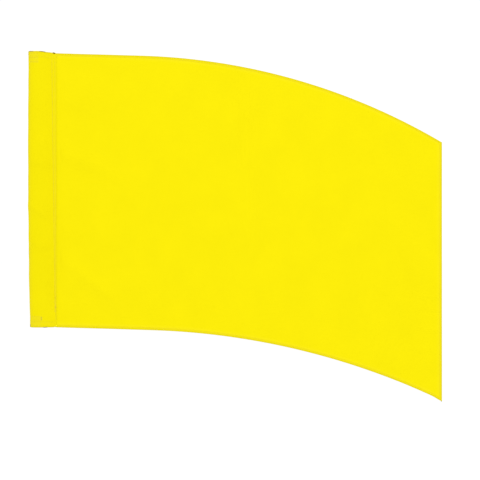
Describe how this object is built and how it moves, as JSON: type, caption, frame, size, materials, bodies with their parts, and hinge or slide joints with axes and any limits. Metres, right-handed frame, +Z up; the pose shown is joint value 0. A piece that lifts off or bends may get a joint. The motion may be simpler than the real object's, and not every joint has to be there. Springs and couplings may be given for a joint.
{
  "type": "swing flag",
  "caption": "Yellow hand flag with swept, curved top and bottom edges, a hemmed fly and an open pole sleeve along its straight hoist; the fly swings from the sleeve and folds in half.",
  "frame": {"origin": "On the axis of the pole that goes in the sleeve, level with the sleeve's lower mouth.", "axes": "+Z up along the pole, +X from the sleeve towards the fly end in the plane of the flag, -Y out of the flag's front."},
  "size_m": [1.3718, 0.0356, 1.157],
  "materials": {
    "fly_cloth": "matte",
    "sleeve_cloth": "matte",
    "hem_cloth": "matte",
    "pale_thread": "satin",
    "dark_thread": "satin",
    "tab_webbing": "matte"
  },
  "bodies": {
    "sleeve": {"pole_sleeve": "sleeve_cloth", "panel_hoist_edge": "fly_cloth", "bottom_mouth_hem": "hem_cloth", "top_mouth_hem": "hem_cloth", "bottom_grip_tab": "tab_webbing", "top_grip_tab": "tab_webbing", "bottom_mouth_stitching": "pale_thread", "top_mouth_stitching": "pale_thread", "bottom_tab_stitching": "pale_thread", "top_tab_stitching": "pale_thread", "seam_stitching": "pale_thread", "seam_edge_stitching": "pale_thread", "seam_back_tack": "pale_thread", "tab_bar_tack": "dark_thread"},
    "inner_fly": {"inner_fly_cloth": "fly_cloth", "inner_top_hem": "hem_cloth", "inner_bottom_hem": "hem_cloth", "inner_top_stitching": "pale_thread", "inner_bottom_stitching": "pale_thread"},
    "outer_fly": {"outer_fly_cloth": "fly_cloth", "outer_top_hem": "hem_cloth", "outer_bottom_hem": "hem_cloth", "fly_end_hem": "hem_cloth", "outer_top_stitching": "pale_thread", "outer_bottom_stitching": "pale_thread", "fly_end_stitching": "pale_thread"}
  },
  "joints": [
    {"name": "seam_swing", "type": "hinge", "parent": "sleeve", "child": "inner_fly", "pos_m": [0.07, 0, 0.45], "axis": [0, 0, 1], "range_deg": [-150, 150]},
    {"name": "centre_fold", "type": "hinge", "parent": "inner_fly", "child": "outer_fly", "pos_m": [0.70455, 0, 0.38], "axis": [0, 0, 1], "range_deg": [-160, 160]}
  ]
}
